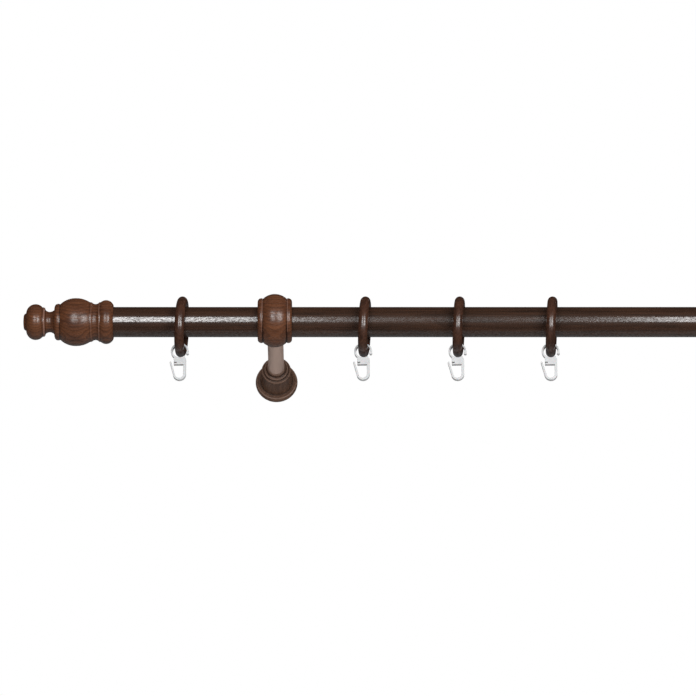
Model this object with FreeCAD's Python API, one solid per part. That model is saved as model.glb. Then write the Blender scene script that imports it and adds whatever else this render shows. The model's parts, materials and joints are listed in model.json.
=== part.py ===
"""Wooden curtain pole on two turned wall brackets, with finials, rings and clip-on hooks.

X runs along the pole, +Y points into the wall and +Z is up. The origin is on the wall plane, half-way
between the two bracket axes. Lengths are in millimetres.
"""

import math
import os

import FreeCAD
import Part

# Pole
POLE_LENGTH = 1200.0
POLE_RADIUS = 14.0
POLE_CHAMFER = 1.0

# Where things stand
BRACKET_X = 425.5
PROJECTION = 140.0

# Room between pieces that fit each other, and how far a cutting bar runs past a face
FIT = 0.05
OVERRUN = 1.0

# Finial, turned in one piece: (distance from its mouth, radius)
SOCKET_DEPTH = 25.0
SOCKET_RADIUS = POLE_RADIUS + 0.07
SOCKET_END_ROOM = 0.6
SOCKET_CHAMFER = 0.5
FINIAL_OUTLINE = [
    (0.0, 15.5),
    ((7.0, 20.35), (11.8, 18.45)),
    (13.2, 18.4),
    ((16.6, 16.7), (19.3, 17.6)),
    ((20.4, 18.35), (21.7, 18.35)),
    ((28.4, 21.4), (35.5, 22.2)),
    ((43.2, 20.6), (48.9, 16.95)),
    (49.4, 16.5),
    ((51.0, 17.0), (54.5, 13.0)),
    (54.6, 11.7),
    ((59.0, 9.5), (63.0, 11.2)),
    (63.3, 12.6),
    ((64.2, 13.5), (65.6, 13.5)),
    ((72.4, 16.6), (80.9, 8.1)),
    ((82.4, 7.3), (83.2, 5.4)),
    ((83.5, 2.7), (83.6, 0.0)),
]

# Collar, a ring turned about the pole's direction: (distance from its middle, radius)
COLLAR_BORE = 15.3
COLLAR_HALF_WIDTH = 15.9
COLLAR_CROWN = 24.7
COLLAR_CROWN_CURVE = 16.0
COLLAR_CROWN_HALF_WIDTH = 10.7
COLLAR_FLANGE_OUTLINE = [
    (11.0, 20.0),
    (11.3, 20.6),
    (12.4, 20.8),
    ((14.9, 19.8), (COLLAR_HALF_WIDTH, 17.3)),
    (COLLAR_HALF_WIDTH, 16.0),
    (COLLAR_HALF_WIDTH - 0.7, COLLAR_BORE),
]
ARM_SEAT_RADIUS = 19.0

# Arm, a round dowel from the collar into the rosette
ARM_RADIUS = 7.4
ARM_IN_ROSETTE = 19.0
ARM_BOLT_HOLE_END = 35.0

# Rosette, turned: (distance from the wall, radius)
ROSETTE_OUTLINE = [
    (0.0, 19.2),
    ((3.1, 19.9), (6.1, 19.3)),
    ((6.9, 18.8), (7.1, 18.0)),
    (7.3, 14.9),
    ((16.5, 13.8), (26.8, 13.3)),
    ((28.7, 13.95), (30.8, 13.0)),
    ((31.0, 11.9), (31.8, 11.2)),
    ((33.0, 11.25), (33.9, 10.2)),
    ((34.2, 9.2), (35.1, 8.6)),
    ((36.7, 8.75), (38.0, 8.0)),
]
ROSETTE_DEPTH = 38.0
ROSETTE_BOLT_HOLE = 3.3

# Hanger bolt: machine thread into the arm's insert, plain neck at the wall plane, wood thread into the wall
BOLT_RADIUS = 3.0
BOLT_MACHINE_LENGTH = 32.0
BOLT_MACHINE_PITCH = 1.0
BOLT_MACHINE_ROOT = 2.4
BOLT_NECK_LENGTH = 6.0
BOLT_WOOD_LENGTH = 32.0
BOLT_WOOD_PITCH = 2.5
BOLT_WOOD_ROOT = 2.1
BOLT_TIP_LENGTH = 4.0

# Threaded insert in the arm's back end
INSERT_RADIUS = 4.5
INSERT_LENGTH = 13.0
INSERT_BAND = 1.0
INSERT_GROOVE = 0.4

# Countersunk screw that holds the collar on the arm
SCREW_HEAD_RADIUS = 4.0
SCREW_HEAD_HEIGHT = 2.0
SCREW_RADIUS = 2.0
SCREW_ROOT = 1.4
SCREW_PITCH = 1.8
SCREW_LENGTH = 30.0
SCREW_NECK_LENGTH = 5.0
SCREW_SLOT = (4.4, 0.9, 1.1)

# Grub screw that locks the pole in the collar
GRUB_RADIUS = 2.0
GRUB_ROOT = 1.65
GRUB_PITCH = 0.7
GRUB_LENGTH = 9.8
GRUB_POINT = (1.0, 1.0)
GRUB_END_CHAMFER = 0.4
GRUB_SOCKET_RADIUS = 1.15
GRUB_SOCKET_DEPTH = 2.5

# Ring
RING_MID_RADIUS = 23.75
RING_SECTION_RADIUS = 4.5
RING_GAP = 0.3
RING_LEAN_DEG = 3.4
# (place along the pole, turn about the upright axis in degrees) of each ring as it hangs
RINGS = [
    (-511.8, 2.7),
    (-342.3, 2.7),
    (-255.0, 2.7),
    (-169.0, 2.7),
    (170.0, 3.5),
    (256.0, -1.5),
    (342.0, 2.0),
    (512.0, -2.5),
]

# Hook, a flat moulding square to the ring: places are (across, up) from the middle of the ring's section
HOOK_THICKNESS = 4.0
HOOK_GAP = 0.4
HOOK_EYE_INNER = 6.5
HOOK_EYE_WALL = 1.7
HOOK_EYE_GAP_DEG = (-56.0, -16.0)
HOOK_EYE_TIP_RADIUS = 1.25
HOOK_BAR_TOP = -9.6
HOOK_SHOULDER = (5.4, -8.5)
HOOK_BLOCK_LEFT = -5.4
HOOK_BAR_RIGHT = 5.9
HOOK_BAR_WIDTH = 2.4
HOOK_BLOCK_BOTTOM = -15.1
HOOK_SLIT = (2.6, 1.2)
HOOK_SLIT_TOP = -12.6
HOOK_BOTTOM = -30.8
HOOK_FLOOR = -28.8
HOOK_ARM_TIP = (-8.3, -13.0)
HOOK_ARM_TIP_RADIUS = 0.85
HOOK_ARM_ROOT = (-5.9, -25.4)
HOOK_ARM_ROOT_WIDTH = 1.9

X = FreeCAD.Vector(1, 0, 0)
Y = FreeCAD.Vector(0, 1, 0)
Z = FreeCAD.Vector(0, 0, 1)
ORIGIN = FreeCAD.Vector(0, 0, 0)

POLE_DROP = COLLAR_BORE - POLE_RADIUS - FIT
RING_REACH_ALONG = RING_MID_RADIUS * math.sin(math.radians(RING_LEAN_DEG))
RING_REACH_UP = RING_MID_RADIUS * math.cos(math.radians(RING_LEAN_DEG))
RING_CENTRE_Z = POLE_RADIUS - POLE_DROP + RING_GAP - (RING_REACH_UP - RING_SECTION_RADIUS)
HOOK_EYE_CENTRE = (0.0, RING_SECTION_RADIUS + HOOK_GAP - HOOK_EYE_INNER)
ARM_BACK = ROSETTE_DEPTH - ARM_IN_ROSETTE
ARM_FRONT = PROJECTION - ARM_SEAT_RADIUS


def point(pair):
    """A pair (across, up) as a point of the XZ plane."""
    return FreeCAD.Vector(pair[0], 0, pair[1])


def outline_edges(start, steps):
    """Edges from start: a step (x, z) is a straight line there, ((x, z), (x, z)) an arc through and to."""
    edges = []
    here = point(start)
    for step in steps:
        if isinstance(step[0], tuple):
            through, end = point(step[0]), point(step[1])
            edges.append(Part.Arc(here, through, end).toBSpline().toShape())
        else:
            end = point(step)
            edges.append(Part.LineSegment(here, end).toShape())
        here = end
    return edges


def outline_face(start, steps):
    """The flat face inside a closed outline."""
    return Part.Face(Part.Wire(outline_edges(start, steps)))


def turned(start, steps):
    """The solid made by turning a closed outline of (along, radius) once about X."""
    return outline_face(start, steps).revolve(ORIGIN, X, 360)


def rod_x(radius, start, end):
    """A plain round bar along X."""
    return Part.makeCylinder(radius, end - start, FreeCAD.Vector(start, 0, 0), X)


def thread_steps(start, end, pitch, crest, root):
    """A sharp zigzag from start to end that dips to the root half-way along every pitch."""
    turns = round(abs(end - start) / pitch)
    step = (end - start) / turns
    steps = []
    for turn in range(turns):
        steps.append((start + step * (turn + 0.5), root))
        steps.append((start + step * (turn + 1), crest))
    return steps


def along_arm(shape):
    """Turns a piece made along +X so that its length is the distance from the wall."""
    return shape.rotated(ORIGIN, Z, -90)


def at_pole(shape):
    """Moves a piece made about the origin to the collar's centre."""
    return shape.translated(FreeCAD.Vector(0, -PROJECTION, 0))


def pole():
    bar = rod_x(POLE_RADIUS, -POLE_LENGTH / 2, POLE_LENGTH / 2)
    ends = [edge for edge in bar.Edges if isinstance(edge.Curve, Part.Circle)]
    return at_pole(bar.makeChamfer(POLE_CHAMFER, ends)).translated(Z * -POLE_DROP)


def finial():
    """The right-hand finial, with the socket that slides over the pole's end."""
    floor = SOCKET_DEPTH + SOCKET_END_ROOM
    socket = [
        (floor, SOCKET_RADIUS),
        (SOCKET_CHAMFER, SOCKET_RADIUS),
        (0.0, SOCKET_RADIUS + SOCKET_CHAMFER),
    ]
    body = turned((floor, 0.0), socket + FINIAL_OUTLINE + [(floor, 0.0)])
    mouth = POLE_LENGTH / 2 - SOCKET_DEPTH
    return at_pole(body.translated(X * mouth)).translated(Z * -POLE_DROP)


def crown_place(along):
    """A place on the collar's round crown, which is level in the middle."""
    return (along, COLLAR_CROWN - COLLAR_CROWN_CURVE + math.sqrt(COLLAR_CROWN_CURVE**2 - along**2))


def collar():
    """The bracket's ring: turned body, seat for the arm, countersunk hole behind and tapped hole above."""
    half_way = crown_place(COLLAR_CROWN_HALF_WIDTH / 2)
    crown = [(0.0, COLLAR_CROWN), (half_way, crown_place(COLLAR_CROWN_HALF_WIDTH))]
    right = turned((0.0, COLLAR_BORE), crown + COLLAR_FLANGE_OUTLINE + [(0.0, COLLAR_BORE)])
    body = right.fuse(right.mirror(ORIGIN, X)).removeSplitter()
    seat = Part.makeCylinder(ARM_RADIUS + FIT, COLLAR_CROWN, Y * ARM_SEAT_RADIUS, Y)
    screw_hole = Part.makeCylinder(SCREW_RADIUS + FIT, COLLAR_CROWN, ORIGIN, Y)
    sink = Part.makeCone(
        SCREW_HEAD_RADIUS + FIT, SCREW_RADIUS + FIT, SCREW_HEAD_HEIGHT, Y * (COLLAR_BORE + FIT), Y
    )
    sink_mouth = Part.makeCylinder(SCREW_HEAD_RADIUS + FIT, COLLAR_BORE + FIT, ORIGIN, Y)
    grub_hole = Part.makeCylinder(GRUB_RADIUS + FIT, COLLAR_CROWN + OVERRUN, ORIGIN, Z)
    return at_pole(body.cut([seat, screw_hole, sink, sink_mouth, grub_hole]))


def arm():
    """The dowel, bored at the back for the insert and the bolt, and at the front for the collar's screw."""
    body = rod_x(ARM_RADIUS, ARM_BACK + FIT, ARM_FRONT - FIT)
    insert_hole = rod_x(INSERT_RADIUS + FIT, 0, ARM_BACK + INSERT_LENGTH + 2 * FIT)
    bolt_hole = rod_x(BOLT_RADIUS + FIT, 0, ARM_BOLT_HOLE_END)
    screw_hole = rod_x(SCREW_RADIUS + FIT, ARM_FRONT - SCREW_LENGTH, ARM_FRONT)
    return along_arm(body.cut([insert_hole, bolt_hole, screw_hole]))


def rosette():
    """The turned wall base, with the arm's socket in front and the bolt's hole through."""
    body = turned((0.0, 0.0), ROSETTE_OUTLINE + [(ROSETTE_DEPTH, 0.0), (0.0, 0.0)])
    socket = rod_x(ARM_RADIUS + FIT, ARM_BACK, ROSETTE_DEPTH + OVERRUN)
    bolt_hole = rod_x(ROSETTE_BOLT_HOLE, -OVERRUN, ARM_BACK)
    return along_arm(body.cut([socket, bolt_hole]))


def hanger_bolt():
    """Machine thread in front of the wall plane, a plain neck and a wood thread behind it."""
    neck_end = -BOLT_NECK_LENGTH
    wood_end = neck_end - BOLT_WOOD_LENGTH
    thread_end = wood_end + BOLT_TIP_LENGTH
    start = (BOLT_MACHINE_LENGTH, 0.0)
    front = thread_steps(BOLT_MACHINE_LENGTH, 0.0, BOLT_MACHINE_PITCH, BOLT_RADIUS, BOLT_MACHINE_ROOT)
    back = thread_steps(neck_end, thread_end, BOLT_WOOD_PITCH, BOLT_RADIUS, BOLT_WOOD_ROOT)
    steps = [(BOLT_MACHINE_LENGTH, BOLT_RADIUS)] + front + [(neck_end, BOLT_RADIUS)] + back
    return along_arm(turned(start, steps + [(wood_end, 0.0), start]))


def threaded_insert():
    """A grooved bush, flush with the arm's back end."""
    start = ARM_BACK + FIT
    end = start + INSERT_LENGTH
    body = rod_x(INSERT_RADIUS, start, end).cut(rod_x(BOLT_RADIUS + FIT, start - OVERRUN, end + OVERRUN))
    grooves = round(INSERT_LENGTH / (2 * INSERT_BAND)) - 1
    for groove in range(grooves):
        left = start + INSERT_BAND * (2 * groove + 1)
        band = rod_x(INSERT_RADIUS + OVERRUN, left, left + INSERT_BAND)
        body = body.cut(band.cut(rod_x(INSERT_RADIUS - INSERT_GROOVE, left, left + INSERT_BAND)))
    return along_arm(body)


def collar_screw():
    """Countersunk wood screw, its head below the collar's bore and its thread in the arm."""
    neck_end = SCREW_HEAD_HEIGHT + SCREW_NECK_LENGTH
    thread_end = SCREW_LENGTH - SCREW_RADIUS
    head = [(0.0, SCREW_HEAD_RADIUS - FIT), (SCREW_HEAD_HEIGHT - FIT, SCREW_RADIUS)]
    steps = head + [(neck_end, SCREW_RADIUS)]
    steps += thread_steps(neck_end, thread_end, SCREW_PITCH, SCREW_RADIUS, SCREW_ROOT)
    body = turned((0.0, 0.0), steps + [(SCREW_LENGTH, 0.0), (0.0, 0.0)])
    length, width, depth = SCREW_SLOT
    for across, up in ((length, width), (width, length)):
        corner = FreeCAD.Vector(-FIT, -across / 2, -up / 2)
        body = body.cut(Part.makeBox(depth + FIT, across, up, corner))
    return at_pole(body.rotated(ORIGIN, Z, 90).translated(Y * (COLLAR_BORE + 2 * FIT)))


def lock_screw():
    """Grub screw with a blunt cone point on the pole's top and a hexagon socket above."""
    point_length, point_radius = GRUB_POINT
    steps = [(0.0, point_radius), (point_length, GRUB_RADIUS)]
    steps += thread_steps(point_length, GRUB_LENGTH - GRUB_END_CHAMFER, GRUB_PITCH, GRUB_RADIUS, GRUB_ROOT)
    steps += [(GRUB_LENGTH, GRUB_ROOT), (GRUB_LENGTH, 0.0), (0.0, 0.0)]
    body = turned((0.0, 0.0), steps)
    corners = [
        FreeCAD.Vector(GRUB_LENGTH, GRUB_SOCKET_RADIUS * math.cos(a), GRUB_SOCKET_RADIUS * math.sin(a))
        for a in [math.radians(60 * n) for n in range(7)]
    ]
    socket = Part.Face(Part.makePolygon(corners)).extrude(X * -GRUB_SOCKET_DEPTH)
    upright = body.cut(socket).rotated(ORIGIN, Y, -90)
    return at_pole(upright.translated(Z * (POLE_RADIUS - POLE_DROP + FIT)))


def ring():
    """One ring as it rests on the pole, its top leaning towards +X."""
    body = Part.makeTorus(RING_MID_RADIUS, RING_SECTION_RADIUS, ORIGIN, X)
    return body.rotated(ORIGIN, Y, RING_LEAN_DEG).translated(Z * RING_CENTRE_Z)


def polar(centre, radius, degrees):
    """The (across, up) place at that angle on a circle."""
    a = math.radians(degrees)
    return (centre[0] + radius * math.cos(a), centre[1] + radius * math.sin(a))


def hook_eye():
    """The open loop that clips round the ring, and the round ends of its gap."""
    inner, outer = HOOK_EYE_INNER, HOOK_EYE_INNER + HOOK_EYE_WALL
    low, high = HOOK_EYE_GAP_DEG
    top = (low + high) / 2 + 180
    start = polar(HOOK_EYE_CENTRE, inner, high)
    loop = outline_face(
        start,
        [
            (polar(HOOK_EYE_CENTRE, inner, top), polar(HOOK_EYE_CENTRE, inner, low)),
            polar(HOOK_EYE_CENTRE, outer, low),
            (polar(HOOK_EYE_CENTRE, outer, top), polar(HOOK_EYE_CENTRE, outer, high)),
            start,
        ],
    )
    ends = []
    for angle, radius in ((high, HOOK_EYE_TIP_RADIUS), (low, HOOK_EYE_WALL / 2)):
        centre = point(polar(HOOK_EYE_CENTRE, outer - HOOK_EYE_WALL / 2, angle))
        ends.append(Part.Face(Part.Wire(Part.Circle(centre, Y, radius).toShape())))
    return [loop] + ends


def hook_block():
    """The neck from the middle of the eye's wall to the crossbar, with a small slit in its left side."""
    middle = HOOK_EYE_INNER + HOOK_EYE_WALL / 2
    right = HOOK_BAR_RIGHT - HOOK_BAR_WIDTH / 2
    left_angle = 180 + math.degrees(math.acos(-HOOK_BLOCK_LEFT / middle))
    right_angle = 360 - math.degrees(math.acos(right / middle))
    start = polar(HOOK_EYE_CENTRE, middle, left_angle)
    slit_depth, slit_height = HOOK_SLIT
    slit_end = HOOK_BLOCK_LEFT + slit_depth
    slit_bottom = HOOK_SLIT_TOP - slit_height
    return outline_face(
        start,
        [
            (HOOK_BLOCK_LEFT, HOOK_SLIT_TOP),
            (slit_end, HOOK_SLIT_TOP),
            (slit_end, slit_bottom),
            (HOOK_BLOCK_LEFT, slit_bottom),
            (HOOK_BLOCK_LEFT, HOOK_BLOCK_BOTTOM),
            (right, HOOK_BLOCK_BOTTOM),
            polar(HOOK_EYE_CENTRE, middle, right_angle),
            (polar(HOOK_EYE_CENTRE, middle, 270), start),
        ],
    )


def hook_cradle():
    """The right bar, the round bottom and the thin left arm that carry the curtain tape."""
    inner_right = HOOK_BAR_RIGHT - HOOK_BAR_WIDTH
    root_x, bend = HOOK_ARM_ROOT
    tip_x, tip_z = HOOK_ARM_TIP
    tip_r = HOOK_ARM_TIP_RADIUS
    top_x, top_z = polar(HOOK_EYE_CENTRE, HOOK_EYE_INNER + HOOK_EYE_WALL / 2, HOOK_EYE_GAP_DEG[0])
    return outline_face(
        (HOOK_BAR_RIGHT, HOOK_BAR_TOP),
        [
            (HOOK_BAR_RIGHT, bend),
            (((HOOK_BAR_RIGHT + root_x) / 2, HOOK_BOTTOM), HOOK_ARM_ROOT),
            (tip_x - tip_r, tip_z),
            ((tip_x, tip_z + tip_r), (tip_x + tip_r, tip_z)),
            (root_x + HOOK_ARM_ROOT_WIDTH, bend),
            (((inner_right + root_x + HOOK_ARM_ROOT_WIDTH) / 2, HOOK_FLOOR), (inner_right, bend)),
            (inner_right, HOOK_BAR_TOP),
            (top_x, top_z),
            (HOOK_SHOULDER, (HOOK_BAR_RIGHT, HOOK_BAR_TOP)),
        ],
    )


def hook():
    """One hook hanging straight from the lowest part of its ring, its flat sides square to Y."""
    outlines = hook_eye() + [hook_block(), hook_cradle()]
    plates = [face.extrude(Y * HOOK_THICKNESS) for face in outlines]
    body = plates[0].fuse(plates[1:]).removeSplitter()
    pivot = FreeCAD.Vector(-RING_REACH_ALONG, -HOOK_THICKNESS / 2, RING_CENTRE_Z - RING_REACH_UP)
    return body.translated(pivot)


def hung(shape, x, turn):
    """Places a ring or its hook at x, turned about the upright axis."""
    return at_pole(shape.rotated(ORIGIN, Z, -turn).translated(X * x))


def save(node, shape):
    """Writes one sub-part."""
    shape.exportStep(f"parts/{node}.step")


def save_pair(node, shape):
    """Writes a bracket's piece at both brackets."""
    for side, x in (("left", -BRACKET_X), ("right", BRACKET_X)):
        save(f"{node}_{side}", shape.translated(X * x))


def main():
    os.makedirs("parts", exist_ok=True)
    save("pole", pole())
    right_finial = finial()
    pole_axis = FreeCAD.Vector(0, -PROJECTION, 0)
    save("finial_right", right_finial)
    save("finial_left", right_finial.rotated(pole_axis, Z, 180))
    for node, shape in (
        ("collar", collar()),
        ("arm", arm()),
        ("rosette", rosette()),
        ("hanger_bolt", hanger_bolt()),
        ("threaded_insert", threaded_insert()),
        ("collar_screw", collar_screw()),
        ("lock_screw", lock_screw()),
    ):
        save_pair(node, shape)
    one_ring, one_hook = ring(), hook()
    for number, (x, turn) in enumerate(RINGS, start=1):
        save(f"ring_{number:02d}", hung(one_ring, x, turn))
        save(f"hook_{number:02d}", hung(one_hook, x, turn))


if __name__ == "__main__":
    main()
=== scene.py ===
"""Looks of a wooden curtain pole on two turned brackets, with finials, sliding rings and clip-on hooks.

Each operator makes one group of pieces round the fixed frame: turned wood, dowels, threaded bolts and moulded
hooks as surfaces worked out from two parameters, and their finishes as node materials. Lengths are in metres.
"""

import json
import math

import bpy
import numpy as np
from bpy.props import FloatProperty, FloatVectorProperty, IntProperty, PointerProperty
from bpy.types import Operator, Panel, PropertyGroup
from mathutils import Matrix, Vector
from mathutils.geometry import tessellate_polygon


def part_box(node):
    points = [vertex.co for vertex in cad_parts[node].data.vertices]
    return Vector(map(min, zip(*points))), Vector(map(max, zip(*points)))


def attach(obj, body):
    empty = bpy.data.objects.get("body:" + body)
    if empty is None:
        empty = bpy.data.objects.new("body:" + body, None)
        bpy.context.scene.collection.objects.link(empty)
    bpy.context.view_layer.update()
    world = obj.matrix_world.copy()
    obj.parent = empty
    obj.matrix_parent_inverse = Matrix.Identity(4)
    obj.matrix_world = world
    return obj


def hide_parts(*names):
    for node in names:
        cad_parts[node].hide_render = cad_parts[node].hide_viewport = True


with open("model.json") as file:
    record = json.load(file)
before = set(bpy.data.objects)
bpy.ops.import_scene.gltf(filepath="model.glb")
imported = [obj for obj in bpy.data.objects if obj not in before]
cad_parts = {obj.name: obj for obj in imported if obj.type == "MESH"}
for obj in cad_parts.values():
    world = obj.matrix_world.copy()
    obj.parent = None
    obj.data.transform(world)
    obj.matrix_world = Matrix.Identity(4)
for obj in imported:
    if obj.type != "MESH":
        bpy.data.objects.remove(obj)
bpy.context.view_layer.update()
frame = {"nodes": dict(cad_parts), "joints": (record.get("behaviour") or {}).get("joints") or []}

bl_info = {
    "name": "Curtain pole",
    "version": (1, 0, 0),
    "blender": (4, 5, 0),
    "location": "View3D > Sidebar > Curtain pole",
    "description": "Makes a turned wooden curtain pole with brackets, rings and hooks",
    "category": "Add Mesh",
}

MM = 0.001
SIDES = ("left", "right")
TRIM_NODES = ("threaded_insert", "collar_screw", "lock_screw")
FIXED_BODY = "pole_and_brackets"


def middle(node):
    """The middle of a node's box."""
    low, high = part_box(node)
    return (low + high) / 2


POLE_LOW, POLE_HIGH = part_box("pole")
POLE_RADIUS = (POLE_HIGH.z - POLE_LOW.z) / 2
POLE_MIDDLE = middle("pole")
COLLAR_MIDDLE = {side: middle(f"collar_{side}") for side in SIDES}
RING_NUMBERS = sorted(name[-2:] for name in frame["nodes"] if name.startswith("ring_"))
JOINTS = {joint["name"]: joint for joint in frame["joints"]}
COLLAR_LIFT = COLLAR_MIDDLE["left"].z - POLE_MIDDLE.z


# ---------------------------------------------------------------- outlines


def arc(start, through, end, step):
    """Points on the circle through three points: its centre is where the two bisectors cross."""
    a, b, c = (np.array(p, float) for p in (start, through, end))
    sides = np.array([b - a, c - a])
    centre = a + np.linalg.solve(sides, (sides**2).sum(1) / 2)
    angles = np.arctan2(*(np.array([a, b, c]) - centre).T[::-1])
    sweep, whole = (angles[2] - angles[0]) % math.tau, (angles[1] - angles[0]) % math.tau
    if whole > sweep:
        sweep -= math.tau
    radius = np.linalg.norm(a - centre)
    count = max(4, math.ceil(abs(sweep) * radius / step))
    turn = angles[0] + np.linspace(0, sweep, count + 1)[1:]
    return centre + radius * np.column_stack([np.cos(turn), np.sin(turn)])


def line(start, end, step):
    """Evenly spaced points from start to end."""
    start, end = np.array(start, float), np.array(end, float)
    count = max(1, math.ceil(np.linalg.norm(end - start) / step))
    return start + (end - start) * np.linspace(0, 1, count + 1)[1:, None]


def trace(start, steps, step):
    """The outline from start: (u, v) is a straight line there, ((u, v), (u, v)) an arc through and to."""
    path = [np.array([start], float)]
    for move in steps:
        here = path[-1][-1]
        if isinstance(move[0], tuple):
            path.append(arc(here, move[0], move[1], step))
        else:
            path.append(line(here, move, step))
    return np.concatenate(path)


def eased(path, step, softness, closed):
    """Rounds corners by a bell-shaped average along the outline; an open outline's ends stay on the axis."""
    length = np.concatenate([[0], np.cumsum(np.linalg.norm(np.diff(path, axis=0), axis=1))])
    even = np.linspace(0, length[-1], math.ceil(length[-1] / step) + 1)
    path = np.column_stack([np.interp(even, length, path[:, k]) for k in (0, 1)])
    reach = math.ceil(3 * softness / step)
    offsets = np.arange(-reach, reach + 1)
    weights = np.exp(-0.5 * (offsets * step / softness) ** 2)
    weights /= weights.sum()
    if closed:
        path = path[:-1]
        padded = np.concatenate([path[-reach:], path, path[:reach]])
    else:
        before, after = path[reach:0:-1] * (1, -1), path[-2 : -reach - 2 : -1] * (1, -1)
        padded = np.concatenate([before, path, after])
    soft = np.column_stack([np.convolve(padded[:, k], weights, "valid") for k in (0, 1)])
    return np.concatenate([soft, soft[:1]]) if closed else soft


def even_turning(path, turn_step, length_step):
    """Keeps points so that every step adds the same share of turning plus length."""
    legs = np.diff(path, axis=0)
    heading = np.unwrap(np.arctan2(legs[:, 1], legs[:, 0]))
    turning = np.abs(np.diff(heading, append=heading[-1]))
    share = np.linalg.norm(legs, axis=1) / length_step + turning / turn_step
    total = np.concatenate([[0], np.cumsum(share)])
    wanted = np.linspace(0, total[-1], math.ceil(total[-1]) + 1)
    return np.column_stack([np.interp(wanted, total, path[:, k]) for k in (0, 1)])


def turned_outline(start, steps, closed=False, softness=0.2, turn_deg=5.0, length_step=1.5):
    """An outline in millimetres of (along, radius), its corners eased, as points in metres."""
    fine = 0.08
    path = trace(start, steps, fine)
    path = eased(path, fine, softness, closed)
    return even_turning(path, math.radians(turn_deg), length_step) * MM


# ---------------------------------------------------------------- surfaces


def grid_faces(rows, columns, wrap_rows):
    """The four-cornered faces of a grid of points whose columns run once round."""
    row = np.arange(rows if wrap_rows else rows - 1)[:, None]
    column = np.arange(columns)[None, :]
    after_row, after_column = (row + 1) % rows, (column + 1) % columns
    corners = [
        row * columns + column,
        row * columns + after_column,
        after_row * columns + after_column,
        after_row * columns + column,
    ]
    return np.stack(corners, axis=-1).reshape(-1, 4)


def closed_mesh(name, points, quads, triangles):
    """A closed mesh with its faces outward: turned round if the volume sum a . (b x c) is negative."""
    triangles = np.asarray(triangles, int).reshape(-1, 3)
    fan = np.concatenate([triangles, quads[:, [0, 1, 2]], quads[:, [0, 2, 3]]])
    a, b, c = (points[fan[:, k]] for k in range(3))
    if (a * np.cross(b, c)).sum() < 0:
        quads, triangles = quads[:, ::-1], triangles[:, ::-1]
    mesh = bpy.data.meshes.new(name)
    mesh.vertices.add(len(points))
    mesh.vertices.foreach_set("co", points.astype(np.float32).ravel())
    corners = np.concatenate([quads.ravel(), triangles.ravel()]).astype(np.int32)
    mesh.loops.add(len(corners))
    mesh.loops.foreach_set("vertex_index", corners)
    sizes = np.concatenate([np.full(len(quads), 4), np.full(len(triangles), 3)])
    starts = np.concatenate([[0], np.cumsum(sizes)[:-1]]).astype(np.int32)
    mesh.polygons.add(len(sizes))
    mesh.polygons.foreach_set("loop_start", starts)
    mesh.update(calc_edges=True)
    mesh.shade_smooth()
    mesh.set_sharp_from_angle(angle=math.radians(40))
    return mesh


def tube(profile, columns, wrap_rows, radius_change=None):
    """Points (along, r cos a, r sin a) of a profile of (along, r) turned about X; a rule may change r."""
    angle = np.linspace(0, math.tau, columns, endpoint=False)[None, :]
    along, radius = profile[:, :1], profile[:, 1:]
    if radius_change is not None:
        radius = radius_change(along, radius, angle)
    points = np.stack(np.broadcast_arrays(along, radius * np.cos(angle), radius * np.sin(angle)), axis=-1)
    return points.reshape(-1, 3), grid_faces(len(profile), columns, wrap_rows)


def turned_body(profile, columns, radius_change=None):
    """A turned solid whose outline starts and ends on the axis: rows between, and a fan at each end."""
    points, quads = tube(profile[1:-1], columns, False, radius_change)
    first, last = len(points), len(points) + 1
    ends = np.array([[profile[0, 0], 0, 0], [profile[-1, 0], 0, 0]])
    here = np.arange(columns)
    after = (here + 1) % columns
    last_row = len(points) - columns
    triangles = np.concatenate(
        [
            np.column_stack([after, here, np.full(columns, first)]),
            np.column_stack([here + last_row, after + last_row, np.full(columns, last)]),
        ]
    )
    return np.concatenate([points, ends]), quads, triangles


def turned_band(profile, columns):
    """A turned solid with a hole through, whose closed outline never meets the axis."""
    points, quads = tube(profile[:-1], columns, True)
    return points, quads, np.empty((0, 3), int)


def ring_surface(mid_radius, section_radius, rows, columns):
    """A round ring about X: (r sin b, (R + r cos b) cos a, (R + r cos b) sin a)."""
    around = np.linspace(0, math.tau, rows, endpoint=False)[:, None]
    section = np.linspace(0, math.tau, columns, endpoint=False)[None, :]
    reach = mid_radius + section_radius * np.cos(section)
    sideways = section_radius * np.sin(section) + 0 * around
    points = np.stack([sideways, reach * np.cos(around), reach * np.sin(around)], axis=-1)
    return points.reshape(-1, 3), grid_faces(rows, columns, True), np.empty((0, 3), int)


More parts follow.
